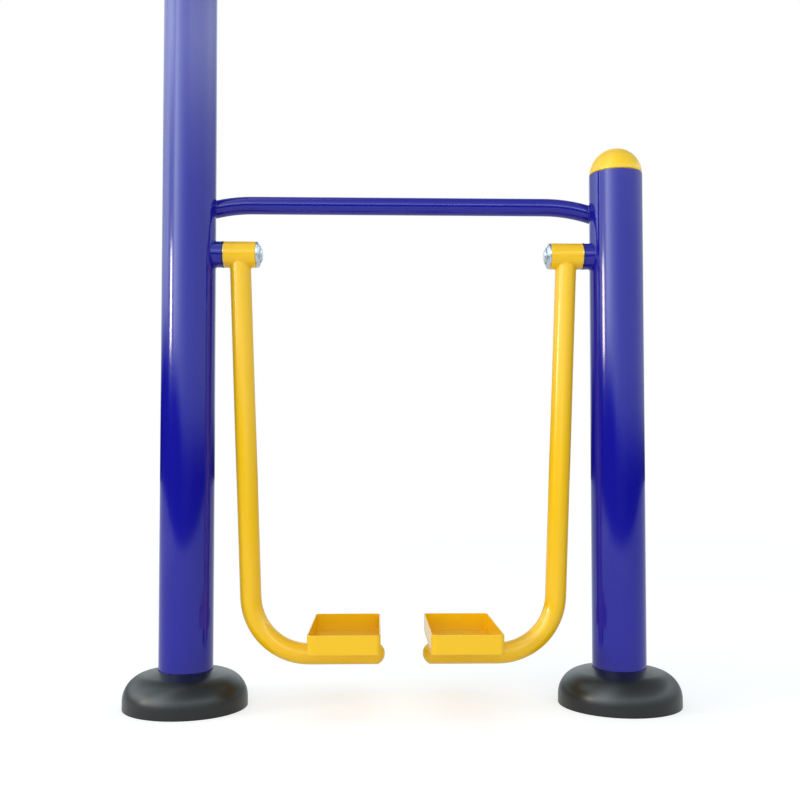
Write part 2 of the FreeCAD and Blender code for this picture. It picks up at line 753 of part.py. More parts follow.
def build_side(side):
    """Every piece of one side."""
    node(build_post(side), f"{side}_post")
    node(build_post_cap(side), f"{side}_post_cap")
    node(build_base_flange(side), f"{side}_base_flange")
    node(build_base_gussets(side), f"{side}_base_gussets")
    node(build_base_cover(side), f"{side}_base_cover")
    node(build_pivot_boss(side), f"{side}_pivot_boss")
    node(build_bearing_sleeve(side), f"{side}_bearing_sleeve")
    node(build_stop_key(side), f"{side}_stop_key")
    node(build_washer(side), f"{side}_retaining_washer")
    node(build_pivot_bolt(side), f"{side}_pivot_bolt")
    node(build_hub(side), f"{side}_hub")
    node(build_bush(side, "post_side_bush", HUB_START, 1), f"{side}_post_side_bush")
    node(build_bush(side, "bolt_side_bush", HUB_END, -1), f"{side}_bolt_side_bush")
    node(build_stop_ring(side), f"{side}_stop_ring")
    node(build_arm_tube(side), f"{side}_arm_tube")
    node(build_arm_end(side), f"{side}_arm_end")
    node(build_foot_tray(side), f"{side}_foot_tray")


for one_side in SIDES:
    build_side(one_side)
node(build_handrail(), "handrail")
doc.recompute()

failed = [obj.Label for obj in doc.Objects if {"Invalid", "Error"} & set(obj.State)]
if failed:
    raise RuntimeError(f"objects failed to recompute: {failed}")
broken = [obj.Label for obj in nodes if obj.Shape.isNull() or not obj.Shape.isValid() or not obj.Shape.Solids]
if broken:
    raise RuntimeError(f"pieces without a valid solid: {broken}")

os.makedirs("parts", exist_ok=True)
for piece in nodes:
    piece.Shape.exportStep(f"parts/{piece.Label}.step")
    print(f"{piece.Label}: {len(piece.Shape.Solids)} solid, {piece.Shape.Volume / 1000:.1f} cm3")
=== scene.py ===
"""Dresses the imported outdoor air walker: paint, mouldings, trays, fasteners, welds, light and camera."""

import logging
import math
from contextlib import contextmanager
from dataclasses import dataclass
from enum import Enum
from itertools import pairwise
from typing import Any, Callable, ClassVar, Iterator, Sequence

import bpy
from mathutils import Euler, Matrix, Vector


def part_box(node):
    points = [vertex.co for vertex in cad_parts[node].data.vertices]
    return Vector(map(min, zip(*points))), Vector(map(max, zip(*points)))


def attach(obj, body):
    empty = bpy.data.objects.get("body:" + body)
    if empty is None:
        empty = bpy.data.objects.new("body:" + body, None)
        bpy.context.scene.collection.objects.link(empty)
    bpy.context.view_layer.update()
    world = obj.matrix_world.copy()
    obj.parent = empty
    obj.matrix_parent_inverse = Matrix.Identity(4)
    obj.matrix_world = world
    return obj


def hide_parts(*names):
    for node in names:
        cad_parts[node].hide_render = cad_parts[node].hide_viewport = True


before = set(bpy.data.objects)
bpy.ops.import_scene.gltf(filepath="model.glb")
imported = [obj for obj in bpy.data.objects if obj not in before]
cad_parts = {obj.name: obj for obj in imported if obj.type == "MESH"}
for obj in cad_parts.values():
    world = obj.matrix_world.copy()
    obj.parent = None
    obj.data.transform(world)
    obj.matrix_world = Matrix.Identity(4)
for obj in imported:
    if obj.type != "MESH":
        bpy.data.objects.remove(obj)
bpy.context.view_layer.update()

MM = 0.001
SAME_SPOT = 0.001 * MM
POLYMER_IOR = 1.5
UP = Vector((0, 0, 1))
# Radius and height of one ring of a turned piece.
Ring = tuple[float, float]
# Elevation and radiance of one height in the room.
Stop = tuple[float, float]
log = logging.getLogger("air_walker")


class Side(Enum):
    """The two sides of the machine; the value is the sign of their X."""

    LEFT = -1
    RIGHT = 1

    def node(self, piece: str) -> str:
        """The name of this side's own piece."""
        return f"{self.name.lower()}_{piece}"

    @property
    def arm(self) -> str:
        """The body that swings on this side."""
        return self.node("arm")

    @property
    def turn(self) -> Euler:
        """The turn about Z that brings a piece here from the right side."""
        return Euler((0, 0, math.pi if self is Side.LEFT else 0))

    @property
    def inward(self) -> Euler:
        """The turn that lays a piece from +Z along this side's pivot, away from the post."""
        return Euler((0, -math.pi / 2 * self.value, 0))


# Where both sides have the same piece, it is modelled to the sizes of this side's nodes.
PATTERN = Side.RIGHT
# The body that stands still.
FRAME_BODY = "frame"


class Ends(Enum):
    """How the two ends of a turned shape are left."""

    OPEN = "open"
    JOINED = "joined"
    CAPPED = "capped"


class Slot(Enum):
    """The record's material slots."""

    BLUE_PAINT = "blue_paint"
    YELLOW_PAINT = "yellow_paint"
    YELLOW_PLASTIC = "yellow_plastic"
    BLACK_PLASTIC = "black_plastic"
    ZINC_PLATE = "zinc_plate"
    BRIGHT_STEEL = "bright_steel"
    BRONZE = "bronze"


# Shader helpers


def linear(colour: str) -> tuple[float, float, float, float]:
    """Turns an sRGB hex colour to linear light.

    Args:
        colour: The colour as #rrggbb.

    Returns:
        Red, green, blue and an alpha of 1.
    """
    channels = [int(colour[i : i + 2], 16) / 255 for i in (1, 3, 5)]
    red, green, blue = (c / 12.92 if c <= 0.04045 else ((c + 0.055) / 1.055) ** 2.4 for c in channels)
    return red, green, blue, 1.0


def add_node(
    tree: bpy.types.NodeTree,
    kind: str,
    inputs: dict[str | int, Any],
    stops: Sequence[tuple[float, tuple[float, float, float]]] = (),
    **settings: Any,
) -> bpy.types.Node:
    """Adds a node with its settings, its values and its links.

    Args:
        tree: The node tree that gets the node.
        kind: The node's type.
        inputs: A value, or the socket to link, for each input by name.
        stops: Place and colour of each stop, where the node is a ramp.
        **settings: The node's own properties.

    Returns:
        The new node.
    """
    node = tree.nodes.new(kind)
    for name, setting in settings.items():
        setattr(node, name, setting)
    for place, colour in stops:
        node.color_ramp.elements.new(place).color = (*colour, 1.0)
    if stops:
        elements = node.color_ramp.elements
        elements.remove(elements[-1])
        elements.remove(elements[0])
    for name, source in inputs.items():
        if isinstance(source, bpy.types.NodeSocket):
            tree.links.new(source, node.inputs[name])
        else:
            node.inputs[name].default_value = source
    return node


def empty_material(name: str) -> bpy.types.Material:
    """Makes a material with an empty node tree.

    Args:
        name: The material's name.

    Returns:
        The new material.
    """
    material = bpy.data.materials.new(name)
    material.use_nodes = True
    material.node_tree.nodes.clear()
    return material


def per_metre(grain: float) -> float:
    """The scale of a noise whose features are about that many metres wide."""
    return 1 / grain


# Finishes


@dataclass(frozen=True)
class Finish:
    """What all finishes share: patches of two close colours, a gloss that follows them and a fine relief."""

    name: str
    colour: str
    patch_colour: str
    roughness: float
    gloss_spread: float
    patch_size: float
    patch_detail: float
    relief_size: float
    relief_depth: float
    relief_detail: float
    constants: ClassVar[dict[str, float]] = {}

    def material(self) -> bpy.types.Material:
        """Builds the finish.

        Returns:
            The material.
        """
        material = empty_material(self.name)
        tree = material.node_tree
        place = add_node(tree, "ShaderNodeTexCoord", {}).outputs["Object"]
        patches = add_node(
            tree,
            "ShaderNodeTexNoise",
            {"Vector": place, "Scale": per_metre(self.patch_size), "Detail": self.patch_detail},
        )
        colour = add_node(
            tree,
            "ShaderNodeMixRGB",
            {
                "Fac": patches.outputs["Fac"],
                "Color1": linear(self.colour),
                "Color2": linear(self.patch_colour),
            },
        )
        gloss = add_node(
            tree,
            "ShaderNodeMapRange",
            {
                "Value": patches.outputs["Fac"],
                "To Min": self.roughness * (1 - self.gloss_spread),
                "To Max": self.roughness * (1 + self.gloss_spread),
            },
        )
        bump = add_node(
            tree,
            "ShaderNodeBump",
            {"Height": self.relief(tree, place), "Distance": self.relief_depth, "Strength": 1.0},
        )
        shader = add_node(
            tree,
            "ShaderNodeBsdfPrincipled",
            {
                "Base Color": colour.outputs["Color"],
                "Roughness": gloss.outputs["Result"],
                "Normal": bump.outputs["Normal"],
                **self.constants,
            },
        )
        add_node(tree, "ShaderNodeOutputMaterial", {"Surface": shader.outputs["BSDF"]})
        return material

    def relief(self, tree: bpy.types.NodeTree, place: bpy.types.NodeSocket) -> bpy.types.NodeSocket:
        """Adds the fine relief, an even grain unless a finish has its own.

        Args:
            tree: The material's node tree.
            place: The socket that gives the place on the piece.

        Returns:
            The socket that gives the height.
        """
        grain = add_node(
            tree,
            "ShaderNodeTexNoise",
            {"Vector": place, "Scale": per_metre(self.relief_size), "Detail": self.relief_detail},
        )
        return grain.outputs["Fac"]


@dataclass(frozen=True)
class PowderCoat(Finish):
    """Polyester powder coat baked on steel: a deep, even gloss with a faint orange peel."""

    roughness: float = 0.09
    gloss_spread: float = 0.2
    # The coat is a little thicker in soft clouds, which deepens the colour there.
    patch_size: float = 120 * MM
    patch_detail: float = 2.0
    # Orange peel is about 2 mm wide; it is drawn coarser so that it shows without sparkling.
    relief_size: float = 7 * MM
    relief_depth: float = 0.012 * MM
    relief_detail: float = 1.0
    constants: ClassVar[dict[str, float]] = {"IOR": POLYMER_IOR}


@dataclass(frozen=True)
class MouldedPlastic(Finish):
    """Injection-moulded polymer: a satin skin with the fine grain of the mould."""

    gloss_spread: float = 0.15
    # Flow marks: broad, barely lighter patches left by the filling of the mould.
    patch_size: float = 60 * MM
    patch_detail: float = 3.0
    # Mould grain is about 0.5 mm; it is drawn coarser so that it shows in the render.
    relief_size: float = 3 * MM
    relief_depth: float = 0.02 * MM
    relief_detail: float = 3.0
    constants: ClassVar[dict[str, float]] = {"IOR": POLYMER_IOR}


@dataclass(frozen=True)
class BareMetal(Finish):
    """Plated or turned metal: a bright skin, crossed by the fine rings that the lathe or the die leaves."""

    gloss_spread: float = 0.3
    # Plating has a cloudy bloom that dulls it in small patches.
    patch_size: float = 9 * MM
    patch_detail: float = 4.0
    # The rings are drawn coarser than the real feed of the tool.
    relief_size: float = 1.2 * MM
    relief_depth: float = 0.006 * MM
    relief_detail: float = 1.0
    ring_wander: float = 0.6
    constants: ClassVar[dict[str, float]] = {"Metallic": 1.0}

    def relief(self, tree: bpy.types.NodeTree, place: bpy.types.NodeSocket) -> bpy.types.NodeSocket:
        """Adds the tool rings, which lie square to the pivot and so vary along X alone.

        Args:
            tree: The material's node tree.
            place: The socket that gives the place on the piece.

        Returns:
            The socket that gives the height.
        """
        rings = add_node(
            tree,
            "ShaderNodeTexWave",
            {
                "Vector": place,
                "Scale": per_metre(self.relief_size) / math.tau,
                "Distortion": self.ring_wander,
                "Detail": self.relief_detail,
            },
            bands_direction="X",
        )
        return rings.outputs["Fac"]


FINISHES: dict[Slot, Finish] = {
    Slot.BLUE_PAINT: PowderCoat("blue_powder_coat", "#151398", "#131191"),
    Slot.YELLOW_PAINT: PowderCoat("yellow_powder_coat", "#f9c60e", "#f7c10a", roughness=0.18),
    Slot.YELLOW_PLASTIC: MouldedPlastic(
        "yellow_polyethylene",
        "#f9c81c",
        "#facc24",
        roughness=0.3,
        relief_size=8 * MM,
        relief_depth=0.004 * MM,
    ),
    Slot.BLACK_PLASTIC: MouldedPlastic("black_polypropylene", "#0f1113", "#151719", roughness=0.34),
    Slot.ZINC_PLATE: BareMetal(
        "bright_zinc_plate", "#d5dde7", "#c2ccd9", roughness=0.3, relief_depth=0.002 * MM
    ),
    Slot.BRIGHT_STEEL: BareMetal("ground_steel", "#c2c4c6", "#aeb0b3", roughness=0.22),
    Slot.BRONZE: BareMetal("bearing_bronze", "#b98a4e", "#9f7239", roughness=0.34),
}


# Modelling helpers


def clear_selection() -> None:
    """Leaves nothing selected, in object mode."""
    if bpy.context.mode != "OBJECT":
        bpy.ops.object.mode_set(mode="OBJECT")
    bpy.ops.object.select_all(action="DESELECT")


def pick(piece: bpy.types.Object) -> None:
    """Selects one piece alone and makes it active."""
    clear_selection()
    piece.select_set(True)
    bpy.context.view_layer.objects.active = piece


@contextmanager
def editing(piece: bpy.types.Object) -> Iterator[None]:
    """Holds a piece in edit mode, with the selection that its mesh already has.

    Args:
        piece: The piece to edit.

    Yields:
        Nothing.
    """
    pick(piece)
    bpy.ops.object.mode_set(mode="EDIT")
    yield
    bpy.ops.object.mode_set(mode="OBJECT")


def select_edges(piece: bpy.types.Object, wanted: Callable[[Vector, Vector], bool]) -> None:
    """Selects the edges whose two ends pass a test, and nothing else.

    Args:
        piece: A mesh in object mode.
        wanted: The test, which is given the two ends.
    """
    bpy.context.tool_settings.mesh_select_mode = (False, True, False)
    mesh = piece.data
    for parts in (mesh.vertices, mesh.edges, mesh.polygons):
        parts.foreach_set("select", [False] * len(parts))
    for edge in mesh.edges:
        first, last = (mesh.vertices[i] for i in edge.vertices)
        if wanted(first.co, last.co):
            edge.select = first.select = last.select = True


def apply_modifier(piece: bpy.types.Object, kind: str, **settings: Any) -> None:
    """Adds a modifier to a piece and applies it.

    Args:
        piece: The piece to change.
        kind: The modifier's type.
        **settings: The modifier's own properties.
    """
    pick(piece)
    modifier = piece.modifiers.new(kind.title(), kind)
    for name, setting in settings.items():
        setattr(modifier, name, setting)
    bpy.ops.object.modifier_apply(modifier=modifier.name)


def round_edges(piece: bpy.types.Object, width: float, segments: int, angle: float) -> None:
    """Rounds the sharp edges of a piece.

    Args:
        piece: The piece to change.
        width: The width of the rounding.
        segments: How many chords it has.
        angle: Edges sharper than this many degrees are rounded.
    """
    limit = math.radians(angle)
    apply_modifier(piece, "BEVEL", width=width, segments=segments, limit_method="ANGLE", angle_limit=limit)


def smooth(piece: bpy.types.Object, angle: float) -> None:
    """Shades a piece smooth, with its flats kept flat beside rounded edges.

    Args:
        piece: The piece to shade.
        angle: Edges sharper than this many degrees stay sharp.
    """
    pick(piece)
    bpy.ops.object.shade_smooth_by_angle(angle=math.radians(angle))
    apply_modifier(piece, "WEIGHTED_NORMAL", keep_sharp=True, weight=100)


def settle(piece: bpy.types.Object, spot: Vector, turn: Euler = Euler()) -> None:
    """Turns a piece, puts it in its place and moves both into its mesh.

    Args:
        piece: The piece, modelled about the origin.
        spot: Where its origin goes.
        turn: How it is turned.
    """
    pick(piece)
    piece.rotation_euler = turn
    piece.location = spot
    bpy.ops.object.transform_apply(location=True, rotation=True, scale=True)


def turned(name: str, rings: Sequence[Ring], sides: int, ends: Ends = Ends.OPEN) -> bpy.types.Object:
    """Models a round piece about Z by extruding a circle from ring to ring.

    Args:
        name: The piece's name.
        rings: Radius and height of each ring; a last radius of 0 closes the piece in a pole.
        sides: How many sides the circle has.
        ends: Whether the first and last ring stay open, join each other or get a flat face each.

    Returns:
        The new piece.
    """
    clear_selection()
    radius, height = rings[0]
    bpy.ops.mesh.primitive_circle_add(vertices=sides, radius=radius, location=(0, 0, height))
    piece = bpy.context.object
    piece.name = name
    bpy.ops.object.transform_apply(location=True, rotation=True, scale=True)
    with editing(piece):
        bpy.ops.mesh.select_all(action="SELECT")
        for (radius, height), (next_radius, next_height) in pairwise(rings):
            rise = {"value": (0, 0, next_height - height)}
            bpy.ops.mesh.extrude_edges_move(TRANSFORM_OT_translate=rise)
            grow = next_radius / radius
            bpy.ops.transform.resize(value=(grow, grow, 1), center_override=(0, 0, next_height))
        if ends is not Ends.OPEN:
            bpy.ops.mesh.select_all(action="DESELECT")
            bpy.ops.mesh.select_non_manifold()
        if ends is Ends.JOINED:
            bpy.ops.mesh.bridge_edge_loops()
        elif ends is Ends.CAPPED:
            bpy.ops.mesh.edge_face_add()
        bpy.ops.mesh.select_all(action="SELECT")
        bpy.ops.mesh.remove_doubles(threshold=SAME_SPOT)
        bpy.ops.mesh.normals_make_consistent(inside=False)
    return piece


def rounded(before: Ring, corner: Ring, after: Ring, radius: float, steps: int) -> list[Ring]:
    """Rounds one corner of a half section.

    Args:
        before: The point that leads to the corner.
        corner: The corner itself.
        after: The point that follows it.
        radius: The radius of the rounding.
        steps: How many chords it has.

    Returns:
        The points of the arc.
    """
    spot = Vector(corner)
    back = (Vector(before) - spot).normalized()
    ahead = (Vector(after) - spot).normalized()
    half = back.angle(ahead) / 2
    centre = spot + (back + ahead).normalized() * radius / math.sin(half)
    begin = spot + back * radius / math.tan(half) - centre
    sweep = math.pi - 2 * half
    sense = 1 if back.x * ahead.y - back.y * ahead.x < 0 else -1
    first = math.atan2(begin.y, begin.x)
    angles = (first + sense * sweep * i / steps for i in range(steps + 1))
    return [(centre.x + radius * math.cos(a), centre.y + radius * math.sin(a)) for a in angles]


def dome(radius: float, base: float, rise: float, steps: int) -> list[Ring]:
    """The rings of a spherical cap.

    Args:
        radius: The cap's radius at its base.
        base: The base's height.
        rise: The cap's height.
        steps: How many chords lead from base to pole.

    Returns:
        The rings, from the base to the pole.
    """
    sphere = (radius**2 + rise**2) / (2 * rise)
    spread = math.asin(radius / sphere)
    angles = (spread * (1 - i / steps) for i in range(steps + 1))
    return [(sphere * math.sin(a), base + rise - sphere * (1 - math.cos(a))) for a in angles]


def half_width(node: str) -> float:
    """Half of a node's depth from front to back, which is the radius of a round one."""
    low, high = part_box(node)
    return (high.y - low.y) / 2


def one_for_each_side(model: bpy.types.Object, name: str) -> Iterator[tuple[Side, bpy.types.Object]]:
    """Copies a model, mesh and all, once for each side and then takes the model away.

    Args:
        model: The piece, modelled about the origin.
        name: The copies' name, without their side.

    Yields:
        Each side with its copy.
    """
    for side in Side:
        piece = model.copy()
        piece.data = model.data.copy()
        piece.name = piece.data.name = side.node(name)
        bpy.context.scene.collection.objects.link(piece)
        yield side, piece
    bpy.data.meshes.remove(model.data)


def finish_piece(piece: bpy.types.Object, slot: Slot, body: str, *nodes: str) -> None:
    """Dresses a new piece, lets it ride on a body and hides what it stands for.

    Args:
        piece: The finished piece.
        slot: The material slot that it takes its finish from.
        body: The body that it rides on.
        *nodes: The nodes that it replaces.
    """
    piece.data.materials.clear()
    piece.data.materials.append(bpy.data.materials[FINISHES[slot].name])
    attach(piece, body)
    if nodes:
        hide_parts(*nodes)
    log.info("%s: %d faces on %s", piece.name, len(piece.data.polygons), body)


# Sub-assemblies


@dataclass
class PostDressing:
    """What is fitted to each post: a moulded cap and a base cover."""

    sides: int = 96
    cap_gap: float = 1.8 * MM
    cap_edge: float = 1.2 * MM
    cap_band: float = 7.5 * MM
    cap_wall: float = 3 * MM
    cap_play: float = 0.2 * MM
    post_wall: float = 3 * MM
    cover_wall: float = 4 * MM
    cover_draft: float = 0.5 * MM
    cover_fall: float = 16.5 * MM
    cover_shoulder: float = 54 * MM
    cover_play: float = 0.3 * MM
    moulded_edge: float = 0.8 * MM

    def __post_init__(self) -> None:
        """Takes the posts' radius from the frame."""
        self.radius = half_width(PATTERN.node("post"))

    def build(self) -> None:
        """Models both mouldings and fits a copy of each to every post."""
        for side, shell in one_for_each_side(self.model_cap(), "cap_shell"):
            low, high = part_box(side.node("post"))
            settle(shell, Vector(((low.x + high.x) / 2, 0, high.z)))
            finish_piece(shell, Slot.YELLOW_PLASTIC, FRAME_BODY, side.node("post_cap"))
        for side, shell in one_for_each_side(self.model_cover(), "cover_shell"):
            low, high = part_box(side.node("post"))
            settle(shell, Vector(((low.x + high.x) / 2, 0, 0)))
            finish_piece(shell, Slot.BLACK_PLASTIC, FRAME_BODY, side.node("base_cover"))

    def model_cap(self) -> bpy.types.Object:
        """Models a domed shell, whose skirt plugs into the tube and leaves a shadow gap below the lip.

        Returns:
            The cap, with the tube's end at the origin.
        """
        low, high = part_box(PATTERN.node("post_cap"))
        _, post_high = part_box(PATTERN.node("post"))
        foot = low.z - post_high.z
        crown = high.z - post_high.z
        lip = half_width(PATTERN.node("post_cap"))
        skirt = self.radius - self.post_wall - self.cap_play
        gap = self.cap_gap
        edge = rounded((skirt, gap), (lip, gap), (lip, self.cap_band), self.cap_edge, steps=5)
        top = dome(lip, self.cap_band, crown - self.cap_band, steps=24)
        shell = turned("cap_shell", [(skirt, foot), (skirt, gap), *edge, *top], self.sides)
        apply_modifier(shell, "SOLIDIFY", thickness=self.cap_wall, offset=-1, use_even_offset=True)
        smooth(shell, angle=40)
        return shell

    def model_cover(self) -> bpy.types.Object:
        """Models a dome with a drafted side and a broad round shoulder, open round the post.

        Returns:
            The cover, with the middle of its foot at the origin.
        """
        _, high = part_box(PATTERN.node("base_cover"))
        foot = half_width(PATTERN.node("base_cover"))
        collar = (self.radius + self.cover_play, high.z)
        shoulder = (foot - self.cover_draft, high.z - self.cover_fall)
        arc = rounded((foot, 0), shoulder, collar, self.cover_shoulder, steps=20)
        shell = turned("cover_shell", [(foot, 0), *arc, collar], self.sides)
        apply_modifier(shell, "SOLIDIFY", thickness=self.cover_wall, offset=-1, use_even_offset=True)
        round_edges(shell, self.moulded_edge, segments=2, angle=50)
        smooth(shell, angle=40)
        return shell


@dataclass
class PivotFastening:
    """The cup washer and the hex bolt that keep each hub on its pivot."""

    sides: int = 72
    washer_rim: float = 4 * MM
    washer_floor: float = 3 * MM
    washer_crown: float = 2 * MM
    head_play: float = 0.7 * MM
    # The head's seat is this far from the node's tip; the head itself is lower.
    head_room: float = 12.5 * MM
    head_height: float = 10 * MM
    head_flats: float = 30 * MM
    head_sides: int = 6
    crown_inset: float = 4 * MM
    crown_angle: float = 30.0
    shank_radius: float = 10 * MM
    shank_chamfer: float = 1.5 * MM
    edge: float = 0.5 * MM

    def __post_init__(self) -> None:
        """Works out the radius of the bolt head's corners."""
        self.head_corner = self.head_flats / 2 / math.cos(math.pi / self.head_sides)

    def build(self) -> None:
        """Models both pieces and seats a copy of each on every pivot."""
        self.seat(self.model_washer(), "cup_washer", "retaining_washer")
        self.seat(self.model_bolt(), "hex_bolt", "pivot_bolt")

    @staticmethod
    def seat(model: bpy.types.Object, name: str, stands_for: str) -> None:
        """Lays a copy of a piece along each pivot, pointing away from the post.

        Args:
            model: The piece, modelled along +Z from the origin.
            name: The copies' name, without their side.
            stands_for: The nodes that they replace, without their side.
        """
        for side, piece in one_for_each_side(model, name):
            node = side.node(stands_for)
            low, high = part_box(node)
            foot = Vector((high.x if side is Side.RIGHT else low.x, 0, (low.z + high.z) / 2))
            settle(piece, foot, side.inward)
            finish_piece(piece, Slot.ZINC_PLATE, FRAME_BODY, node)

    def model_washer(self) -> bpy.types.Object:
        """Models a turned cup: a thin rim, a cone and a recess for the bolt head.

        Returns:
            The washer, with its seat at the origin.
        """
        node = PATTERN.node("retaining_washer")
        low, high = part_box(node)
        rim = half_width(node)
        rise = high.x - low.x
        recess = self.head_corner + self.head_play
        rings = [
            (self.shank_radius, 0),
            (rim, 0),
            (rim, self.washer_rim),
            (recess + self.washer_crown, rise),
            (recess, rise),
            (recess, self.washer_floor),
            (self.shank_radius, self.washer_floor),
        ]
        washer = turned("cup_washer", rings, self.sides, Ends.JOINED)
        round_edges(washer, self.edge, segments=3, angle=25)
        smooth(washer, angle=35)
        return washer

    def model_bolt(self) -> bpy.types.Object:
        """Models a hexagon crowned by a cone, on a chamfered shank.

        Returns:
            The bolt, with the tip of its shank at the origin.
        """
        low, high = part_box(PATTERN.node("pivot_bolt"))
        seat = high.x - low.x - self.head_room
        top = seat + self.head_height
        hexagon = [(self.head_corner, seat), (self.head_corner, top)]
        bolt = turned("hex_bolt", hexagon, self.head_sides, Ends.CAPPED)
        crown = self.head_flats / 2 - self.crown_inset
        wide = crown + self.head_height / math.tan(math.radians(self.crown_angle))
        cone = turned("crown_cone", [(wide, seat), (crown, top)], self.sides, Ends.CAPPED)
        self.combine(bolt, "INTERSECT", cone)
        rings = [
            (self.shank_radius - self.shank_chamfer, 0),
            (self.shank_radius, self.shank_chamfer),
            (self.shank_radius, seat + self.head_height / 2),
        ]
        self.combine(bolt, "UNION", turned("shank", rings, self.sides, Ends.CAPPED))
        smooth(bolt, angle=20)
        return bolt

    @staticmethod
    def combine(piece: bpy.types.Object, operation: str, other: bpy.types.Object) -> None:
        """Joins a piece with another solid, which is used up.

        Args:
            piece: The piece that is changed.
            operation: The boolean operation.
            other: The solid that it is joined with.
        """
        apply_modifier(piece, "BOOLEAN", operation=operation, object=other, solver="EXACT")
        bpy.data.meshes.remove(other.data)


@dataclass
class HubGap:
    """What shows between each boss and its hub: a black ring over the gap, which is painted shade for the
    gap's shadow, and the hub's bare turned edge.
    """

    sides: int = 96
    # From the boss's end, how far the ring goes back over the boss and on over gap and hub.
    ring_back: float = 1.3 * MM
    ring_front: float = 2.0 * MM
    ring_proud: float = 0.45 * MM
    edge_width: float = 1.2 * MM
    edge_proud: float = 0.12 * MM
    play: float = 0.1 * MM
    sunk: float = 0.3 * MM
    soft: float = 0.08 * MM

    def __post_init__(self) -> None:
        """Takes the boss's radius and the width of the gap from the frame."""
        _, hub_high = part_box(PATTERN.node("hub"))
        boss_low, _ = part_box(PATTERN.node("pivot_boss"))
        self.radius = half_width(PATTERN.node("pivot_boss"))
        self.gap = boss_low.x - hub_high.x

    def build(self) -> None:
        """Models both rings and fits a copy of each to every pivot."""
        # The black ring is painted shade: a dark piece put where the gap between boss and hub only lies in
        # shadow.
        for side, ring in one_for_each_side(self.model_ring(), "dust_ring"):
            settle(ring, self.boss_end(side), side.inward)
            finish_piece(ring, Slot.BLACK_PLASTIC, FRAME_BODY)
        for side, edge in one_for_each_side(self.model_edge(), "hub_edge"):
            settle(edge, self.boss_end(side), side.inward)
            finish_piece(edge, Slot.BRIGHT_STEEL, side.arm)

    @staticmethod
    def boss_end(side: Side) -> Vector:
        """The middle of the face that a side's boss turns to its hub."""
        low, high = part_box(side.node("pivot_boss"))
        return Vector((low.x if side is Side.RIGHT else high.x, 0, (low.z + high.z) / 2))

    def model_ring(self) -> bpy.types.Object:
        """Models a black ring that grips the boss's end, fills the gap and reaches a little over the hub; it
        is painted shade, a dark piece where the gap is only in shadow.

        Returns:
            The ring, with the boss's end at the origin.
        """
        root = self.radius - self.sunk
        outside = self.radius + self.ring_proud
        over_hub = self.radius + self.play
        rings = [
            (root, -self.ring_back),
            (outside, -self.ring_back),
            (outside, self.ring_front),
            (over_hub, self.ring_front),
            (over_hub, self.gap - self.play),
            (root, self.gap - self.play),
        ]
        ring = turned("dust_ring", rings, self.sides, Ends.JOINED)
        round_edges(ring, self.soft, segments=2, angle=50)
        smooth(ring, angle=40)
        return ring

    def model_edge(self) -> bpy.types.Object:
        """Models the thin bright band that the black painted-shade ring leaves bare.

        Returns:
            The band, with the boss's end at the origin.
        """
        root = self.radius - self.sunk
        outside = self.radius + self.edge_proud
        begin = self.ring_front + self.play
        finish = begin + self.edge_width
        edge = turned(
            "hub_edge",
            [(root, begin), (outside, begin), (outside, finish), (root, finish)],
            self.sides,
            Ends.JOINED,
        )
        round_edges(edge, self.soft, segments=2, angle=50)
        smooth(edge, angle=40)
        return edge


@dataclass
class FootTray:
    """The open box of folded sheet that carries one foot."""

    sheet: float = 2.5 * MM
    corner: float = 10 * MM
    fold: float = 3 * MM
    rim_edge: float = 0.7 * MM
    close: float = 0.01 * MM

    def build(self) -> None:
        """Models the tray and puts a copy on each arm."""
        for side, tray in one_for_each_side(self.model(), "tray_sheet"):
            node = side.node("foot_tray")
            low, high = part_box(node)
            settle(tray, (low + high) / 2)
            finish_piece(tray, Slot.YELLOW_PAINT, side.arm, node)

    def model(self) -> bpy.types.Object:
        """Folds the box: round corners, a rounded fold all round the floor and a soft rim.

        Returns:
            The tray, with its middle at the origin.
        """
        low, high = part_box(PATTERN.node("foot_tray"))
        size = high - low
        brink = size.z / 2 - self.close
        clear_selection()
        bpy.ops.mesh.primitive_cube_add(size=1, scale=size)
        tray = bpy.context.object
        bpy.ops.object.transform_apply(location=True, rotation=True, scale=True)
        select_edges(tray, lambda a, b: abs(a.z - b.z) > self.close)
        with editing(tray):
            bpy.ops.mesh.bevel(offset=self.corner, segments=8, affect="EDGES")
        select_edges(tray, lambda a, b: max(a.z, b.z) < -brink)
        with editing(tray):
            bpy.ops.mesh.bevel(offset=self.fold, segments=4, affect="EDGES")
        select_edges(tray, lambda a, b: min(a.z, b.z) > brink)
        with editing(tray):
            bpy.ops.mesh.delete(type="ONLY_FACE")
        apply_modifier(tray, "SOLIDIFY", thickness=self.sheet, offset=-1, use_even_offset=True)
        round_edges(tray, self.rim_edge, segments=3, angle=60)
        smooth(tray, angle=35)
        return tray


@dataclass(frozen=True)
class Bar:
    """A round bar or tube: a point on its axis, the axis's direction and its radius."""

    spot: Vector
    axis: Vector
    radius: float

    def seam(self, hull: "Bar", count: int) -> list[Vector]:
        """Follows the line where this bar comes out of another one, on the side that its axis points to.

        Args:
            hull: The bar that this one stands on.
            count: How many points the line has.

        Returns:
            The points, once round this bar.
        """
        across = self.axis.orthogonal().normalized()
        square = self.axis.cross(across)
        along = self.axis - hull.axis * self.axis.dot(hull.axis)
        points = []
        for i in range(count):
            angle = math.tau * i / count
            start = self.spot + (across * math.cos(angle) + square * math.sin(angle)) * self.radius
            offset = start - hull.spot
            offset -= hull.axis * offset.dot(hull.axis)
            middle = offset.dot(along) / along.length_squared
            rest = (offset.length_squared - hull.radius**2) / along.length_squared
            points.append(start + self.axis * (math.sqrt(middle**2 - rest) - middle))
        return points


